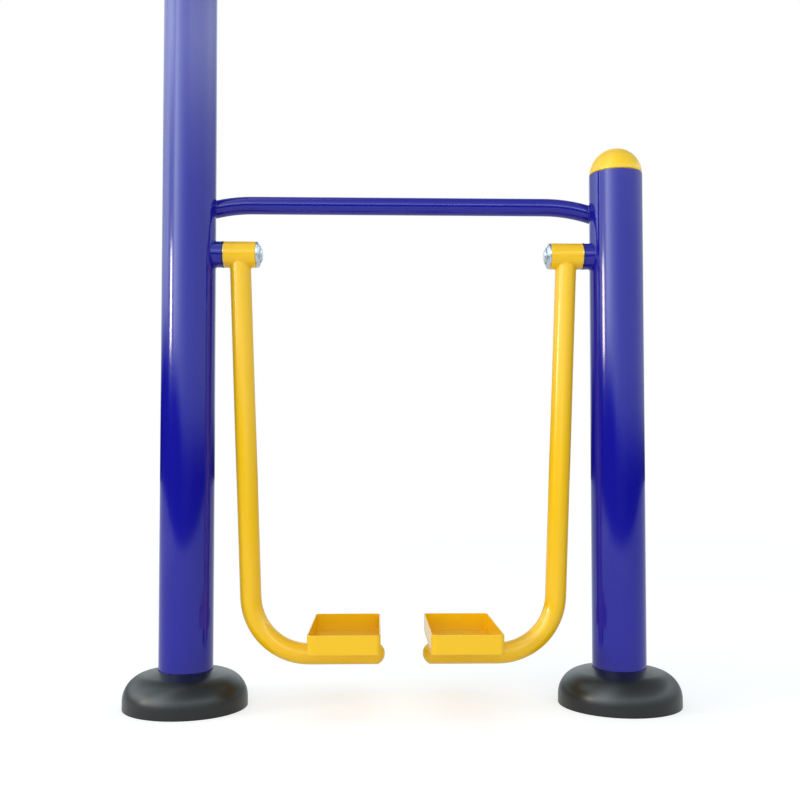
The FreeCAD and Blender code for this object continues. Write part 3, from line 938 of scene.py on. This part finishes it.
@dataclass
class Welds:
    """The fillet welds: boss and handrail on each post, arm under each hub and tray on each arm."""

    bead: float = 1.2 * MM
    sunk: float = 0.5 * MM
    ripple_pitch: float = 2 * MM
    ripple_depth: float = 0.16
    ripple_points: int = 4
    tray_inset: float = 9 * MM
    # From the machine's middle to where the arm's sloping run would meet its level run.
    arm_corner: float = 320.6 * MM
    # From each post's axis to the bend where the handrail becomes level.
    rail_knees: ClassVar[dict[Side, Vector]] = {
        Side.LEFT: Vector((93.5 * MM, 0, 21 * MM)),
        Side.RIGHT: Vector((-101 * MM, 0, 31 * MM)),
    }

    def build(self) -> None:
        """Lays and dresses every bead."""
        self.weld_bosses()
        self.weld_handrail()
        self.weld_hubs()
        self.weld_trays()

    @staticmethod
    def bar(node: str, axis: Vector) -> Bar:
        """A bar along a main axis, with the place and radius of a node.

        Args:
            node: The node, round about that axis.
            axis: The direction to give the bar.

        Returns:
            The bar, through the middle of the node.
        """
        low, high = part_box(node)
        spans = [high[i] - low[i] for i in range(3) if not axis[i]]
        return Bar((low + high) / 2, axis, max(spans) / 2)

    def weld_bosses(self) -> None:
        """Round each boss, where it leaves the post."""
        post = self.bar(PATTERN.node("post"), UP)
        boss = self.bar(PATTERN.node("pivot_boss"), Vector((-PATTERN.value, 0, 0)))
        for side, bead in one_for_each_side(self.lay_round("boss_weld", boss, post), "boss_weld"):
            settle(bead, Vector(), side.turn)
            finish_piece(bead, Slot.BLUE_PAINT, FRAME_BODY)

    def weld_handrail(self) -> None:
        """Round both of the handrail's sloping ends, which differ, where they meet the posts."""
        low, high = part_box("handrail")
        radius = half_width("handrail")
        for side, knee in self.rail_knees.items():
            post = self.bar(side.node("post"), UP)
            spot = Vector((post.spot.x, (low.y + high.y) / 2, high.z - radius - knee.z))
            bead = self.lay_round(side.node("rail_weld"), Bar(spot, knee.normalized(), radius), post)
            finish_piece(bead, Slot.BLUE_PAINT, FRAME_BODY)

    def weld_hubs(self) -> None:
        """Round each arm, where it hangs from the hub."""
        hub = self.bar(PATTERN.node("hub"), Vector((1, 0, 0)))
        low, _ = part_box(PATTERN.node("arm_tube"))
        radius = half_width(PATTERN.node("arm_tube"))
        corner = Vector((PATTERN.value * self.arm_corner, 0, low.z + radius))
        arm = Bar(hub.spot, (corner - hub.spot).normalized(), radius)
        for side, bead in one_for_each_side(self.lay_round("hub_weld", arm, hub), "hub_weld"):
            settle(bead, Vector(), side.turn)
            finish_piece(bead, Slot.YELLOW_PAINT, side.arm)

    def weld_trays(self) -> None:
        """Along the front and the back of each arm, under the tray's floor."""
        low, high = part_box(PATTERN.node("foot_tray"))
        reach = (high.x - low.x) / 2 - self.tray_inset
        away = 2 * math.sqrt(half_width(PATTERN.node("arm_tube")) * self.bead) - self.sunk
        count = self.ripple_points * round(2 * reach / self.ripple_pitch)
        for name, sign in (("tray_weld_front", -1), ("tray_weld_back", 1)):
            first = Vector((-reach, sign * away, self.sunk - self.bead))
            last = Vector((reach, sign * away, self.sunk - self.bead))
            points = [first.lerp(last, i / count) for i in range(count + 1)]
            for side, bead in one_for_each_side(self.lay(name, points, False), name):
                low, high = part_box(side.node("foot_tray"))
                settle(bead, Vector(((low.x + high.x) / 2, 0, low.z)))
                finish_piece(bead, Slot.YELLOW_PAINT, side.arm)

    def lay_round(self, name: str, bar: Bar, hull: Bar) -> bpy.types.Object:
        """Lays a bead all round a bar, where it leaves another one.

        Args:
            name: The bead's name.
            bar: The bar that is welded on.
            hull: The bar that it stands on.

        Returns:
            The bead.
        """
        proud = self.bead - self.sunk
        count = self.ripple_points * round(math.tau * bar.radius / self.ripple_pitch)
        seat = Bar(hull.spot, hull.axis, hull.radius + proud / 2)
        points = Bar(bar.spot, bar.axis, bar.radius + proud / 2).seam(seat, count)
        return self.lay(name, points, True)

    def lay(self, name: str, points: Sequence[Vector], closed: bool) -> bpy.types.Object:
        """Lays one rippled bead along a line of points.

        Args:
            name: The bead's name.
            points: The line that it follows, with the same number of points in each ripple.
            closed: Whether the line comes back to its start.

        Returns:
            The bead.
        """
        curve = bpy.data.curves.new(name, "CURVE")
        curve.dimensions = "3D"
        curve.bevel_depth = self.bead
        curve.bevel_resolution = 3
        curve.use_fill_caps = not closed
        line = curve.splines.new("POLY")
        line.points.add(len(points) - 1)
        for i, (point, spot) in enumerate(zip(line.points, points)):
            point.co = (*spot, 1)
            point.radius = 1 - self.ripple_depth * (i % self.ripple_points) / self.ripple_points
        line.use_cyclic_u = closed
        bead = bpy.data.objects.new(name, curve)
        bpy.context.scene.collection.objects.link(bead)
        pick(bead)
        bpy.ops.object.convert(target="MESH")
        with editing(bead):
            bpy.ops.mesh.select_all(action="SELECT")
            bpy.ops.mesh.remove_doubles(threshold=SAME_SPOT)
        smooth(bead, angle=50)
        return bead


# Stage


@dataclass(frozen=True)
class Softbox:
    """A rectangular studio lamp; azimuth 0 is the viewer's side and grows towards +X."""

    name: str
    azimuth: float
    distance: float
    height: float
    width: float
    tall: float
    radiance: float
    mirrored: bool = True
    tint: str = "#ffffff"

    def build(self, target: Vector) -> None:
        """Hangs the lamp and points it at a target.

        Args:
            target: The point that it lights.
        """
        data = bpy.data.lights.new(self.name, "AREA")
        data.shape = "RECTANGLE"
        data.size = self.width
        data.size_y = self.tall
        data.energy = self.radiance * math.pi * self.width * self.tall
        data.color = linear(self.tint)[:3]
        lamp = bpy.data.objects.new(self.name, data)
        bpy.context.scene.collection.objects.link(lamp)
        angle = math.radians(self.azimuth)
        lamp.location = (self.distance * math.sin(angle), -self.distance * math.cos(angle), self.height)
        lamp.rotation_euler = (target - lamp.location).to_track_quat("-Z", "Y").to_euler()
        lamp.visible_camera = False
        lamp.visible_glossy = self.mirrored


@dataclass
class Studio:
    """A pale floor, a white room, soft lamps and the camera."""

    floor_radius: float = 40.0
    floor_sides: int = 96
    floor_middle: Vector = Vector((0, 35.5, 0))
    floor_colour: str = "#e9e9e9"
    # The floor's share of glow near the object and far from it, where less light falls, and the distances
    # between which it rises.
    floor_glow: tuple[float, float] = (0.31, 0.372)
    floor_glow_reach: tuple[float, float] = (0.8, 9.0)
    floor_white: float = 2.0
    floor_mirror: float = 0.165
    ambient: float = 0.66
    room_tint: str = "#e4eff2"
    target: Vector = Vector((0, 0, 0.75))
    camera_place: Vector = Vector((-0.0594, -2.0392, 0.4894))
    camera_pitch: float = 2.03
    camera_yaw: float = 1.44
    image_side: float = 800.0
    focal_pixels: float = 951.77
    axis_below_middle: float = 40.3
    sensor: float = 36.0

    # Elevation in degrees and the radiance of the walls there, from the dark skirting to the dim ceiling.
    walls: ClassVar[tuple[Stop, ...]] = (
        (0, 0.01),
        (1.4, 0.25),
        (3.9, 1.2),
        (6.5, 1.5),
        (16, 1.55),
        (40, 1.1),
        (60, 0.7),
        (89, 0.5),
    )
    # Elevation and radiance of the lit cove that runs below the ceiling.
    cove: ClassVar[tuple[Stop, ...]] = (
        (14, 0),
        (17, 0.2),
        (20, 1.2),
        (22.5, 3),
        (24.5, 4.5),
        (26.5, 4.8),
        (27.5, 1.2),
        (29, 0.2),
        (31, 0),
    )
    # Round the room by azimuth: how strongly the wall glows, how many degrees its skirting is raised, and the
    # share of the cove that is lit.
    surround: ClassVar[tuple[tuple[float, float, float, float], ...]] = (
        (-89.0, 2.5, 6.0, 0.5),
        (-85.0, 2.0, 5.5, 0.8),
        (-79.0, 1.4, 4.5, 1.0),
        (-70.0, 1.7, 4.0, 1.0),
        (-62.0, 2.0, 4.0, 0.6),
        (-57.0, 3.6, 4.5, 0.25),
        (-50.0, 4.8, 4.5, 0.3),
        (-44.0, 4.0, 4.5, 0.35),
        (-29.0, 2.3, 3.0, 0.5),
        (-15.0, 1.5, 1.2, 0.6),
        (0.0, 1.1, 0.3, 0.7),
        (12.0, 1.0, 0.0, 0.9),
        (98.0, 0.9, 0.0, 0.75),
        (130.0, 0.6, 0.0, 0.3),
        (146.0, 0.4, 0.0, 0.2),
        (165.0, 0.9, 0.0, 0.2),
        (195.0, 0.9, 0.0, 0.2),
        (212.0, 0.45, 3.0, 0.1),
        (235.0, 1.1, 5.5, 0.1),
        (250.0, 1.7, 6.0, 0.1),
        (264.0, 2.5, 6.0, 0.25),
    )
    # The raised skirting is stored as a share of this many degrees.
    skirting_scale: ClassVar[float] = 10.0
    # The radial gradient goes once round from this azimuth.
    gradient_start: ClassVar[float] = -90.0
    lamps: ClassVar[tuple[Softbox, ...]] = (
        Softbox("key_window", -70, 16.0, 3.65, 2.8, 1.8, 25.0, tint="#fff0d8"),
        Softbox("left_fill", -68, 7.0, 2.4, 4.0, 2.4, 3.7, mirrored=False),
        Softbox("front_fill", 4, 6.0, 1.1, 5.0, 2.2, 3.6, mirrored=False),
        Softbox("ceiling_fill", 0, 0.2, 5.0, 4.0, 4.0, 0.45, mirrored=False),
    )

    def build(self) -> None:
        """Makes the floor, the room, the lamps and the camera."""
        self.build_floor()
        self.build_room()
        for lamp in self.lamps:
            lamp.build(self.target)
        self.build_camera()

    def build_floor(self) -> None:
        """A pale disc that looks white to the camera and keeps the object's shadow."""
        clear_selection()
        bpy.ops.mesh.primitive_circle_add(
            vertices=self.floor_sides, radius=self.floor_radius, fill_type="NGON", location=self.floor_middle
        )
        floor = bpy.context.object
        floor.name = "floor"
        material = empty_material("pale_floor")
        tree = material.node_tree
        path = add_node(tree, "ShaderNodeLightPath", {})
        place = add_node(tree, "ShaderNodeTexCoord", {}).outputs["Object"]
        away = add_node(tree, "ShaderNodeVectorMath", {0: place, 1: -self.floor_middle}, operation="DISTANCE")
        fade = add_node(
            tree,
            "ShaderNodeMapRange",
            {
                "Value": away.outputs["Value"],
                "From Min": self.floor_glow_reach[0],
                "From Max": self.floor_glow_reach[1],
                "To Min": self.floor_glow[0],
                "To Max": self.floor_glow[1],
            },
        )
        matt = add_node(tree, "ShaderNodeBsdfDiffuse", {"Color": linear(self.floor_colour)})
        glow = add_node(tree, "ShaderNodeEmission", {"Strength": self.floor_white})
        mirror = add_node(
            tree,
            "ShaderNodeMath",
            {0: path.outputs["Is Glossy Ray"], 1: self.floor_mirror},
            operation="MULTIPLY",
        )
        share = add_node(
            tree,
            "ShaderNodeMath",
            {0: path.outputs["Is Camera Ray"], 1: fade.outputs["Result"], 2: mirror.outputs[0]},
            operation="MULTIPLY_ADD",
        )
        mix = add_node(
            tree,
            "ShaderNodeMixShader",
            {0: share.outputs[0], 1: matt.outputs["BSDF"], 2: glow.outputs["Emission"]},
        )
        add_node(tree, "ShaderNodeOutputMaterial", {"Surface": mix.outputs["Shader"]})
        floor.data.materials.append(material)

    def build_room(self) -> None:
        """White for the camera; for gloss, white walls over a dark skirting; an even glow for the rest."""
        world = bpy.data.worlds.new("white_room")
        world.use_nodes = True
        bpy.context.scene.world = world
        tree = world.node_tree
        tree.nodes.clear()
        path = add_node(tree, "ShaderNodeLightPath", {})
        way = add_node(tree, "ShaderNodeTexCoord", {}).outputs["Generated"]
        rise = add_node(tree, "ShaderNodeSeparateXYZ", {"Vector": way}).outputs["Z"]
        turn = add_node(tree, "ShaderNodeTexGradient", {"Vector": way}, gradient_type="RADIAL")
        around = add_node(
            tree,
            "ShaderNodeValToRGB",
            {"Fac": turn.outputs["Fac"]},
            stops=[
                ((azimuth - self.gradient_start) / 360, (glow, raised / self.skirting_scale, share))
                for azimuth, glow, raised, share in self.surround
            ],
        )
        parts = add_node(tree, "ShaderNodeSeparateColor", {"Color": around.outputs["Color"]})
        level = add_node(
            tree,
            "ShaderNodeMath",
            {0: parts.outputs["Green"], 1: -math.radians(self.skirting_scale), 2: rise},
            operation="MULTIPLY_ADD",
        )
        wall = add_node(
            tree, "ShaderNodeValToRGB", {"Fac": level.outputs[0]}, stops=self.by_height(self.walls)
        )
        cove = add_node(tree, "ShaderNodeValToRGB", {"Fac": rise}, stops=self.by_height(self.cove))
        high = add_node(
            tree, "ShaderNodeMath", {0: cove.outputs["Color"], 1: parts.outputs["Blue"]}, operation="MULTIPLY"
        )
        room = add_node(
            tree,
            "ShaderNodeMath",
            {0: wall.outputs["Color"], 1: parts.outputs["Red"], 2: high.outputs[0]},
            operation="MULTIPLY_ADD",
        )
        lit = add_node(
            tree,
            "ShaderNodeMix",
            {"Factor": path.outputs["Is Glossy Ray"], "A": self.ambient, "B": room.outputs[0]},
            data_type="FLOAT",
        )
        seen = add_node(
            tree,
            "ShaderNodeMath",
            {0: path.outputs["Is Camera Ray"], 1: path.outputs["Is Transmission Ray"]},
            operation="MAXIMUM",
        )
        strength = add_node(
            tree,
            "ShaderNodeMix",
            {"Factor": seen.outputs[0], "A": lit.outputs[0], "B": 1.0},
            data_type="FLOAT",
        )
        tint = add_node(
            tree,
            "ShaderNodeMixRGB",
            {"Fac": seen.outputs[0], "Color1": linear(self.room_tint), "Color2": linear("#ffffff")},
        )
        sky = add_node(
            tree, "ShaderNodeBackground", {"Color": tint.outputs["Color"], "Strength": strength.outputs[0]}
        )
        add_node(tree, "ShaderNodeOutputWorld", {"Surface": sky.outputs["Background"]})

    @staticmethod
    def by_height(bands: Sequence[Stop]) -> list[tuple[float, tuple[float, float, float]]]:
        """Turns elevations in degrees to the stops of a ramp that reads the sine of elevation."""
        return [(math.sin(math.radians(elevation)), (light, light, light)) for elevation, light in bands]

    def build_camera(self) -> None:
        """Stands the camera where the photograph was taken from."""
        data = bpy.data.cameras.new("photo_view")
        data.sensor_fit = "HORIZONTAL"
        data.sensor_width = self.sensor
        data.lens = self.focal_pixels / self.image_side * self.sensor
        data.shift_y = self.axis_below_middle / self.image_side
        camera = bpy.data.objects.new("photo_view", data)
        bpy.context.scene.collection.objects.link(camera)
        camera.location = self.camera_place
        camera.rotation_euler = (math.radians(90 + self.camera_pitch), 0, -math.radians(self.camera_yaw))
        bpy.context.scene.camera = camera
        bpy.context.scene.view_settings.view_transform = "Standard"


def dress_nodes() -> None:
    """Gives every node of the frame the finish of its material slot."""
    finishes = {slot.value: finish.material() for slot, finish in FINISHES.items()}
    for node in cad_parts.values():
        for place in node.material_slots:
            slot = place.material.name.split(".")[0]
            place.material = finishes[slot]


def main() -> None:
    """Builds the finishes, the sub-assemblies and the stage."""
    logging.basicConfig(level=logging.INFO, format="%(name)s: %(message)s")
    dress_nodes()
    PostDressing().build()
    PivotFastening().build()
    HubGap().build()
    FootTray().build()
    Welds().build()
    Studio().build()


if __name__ == "__main__":
    main()
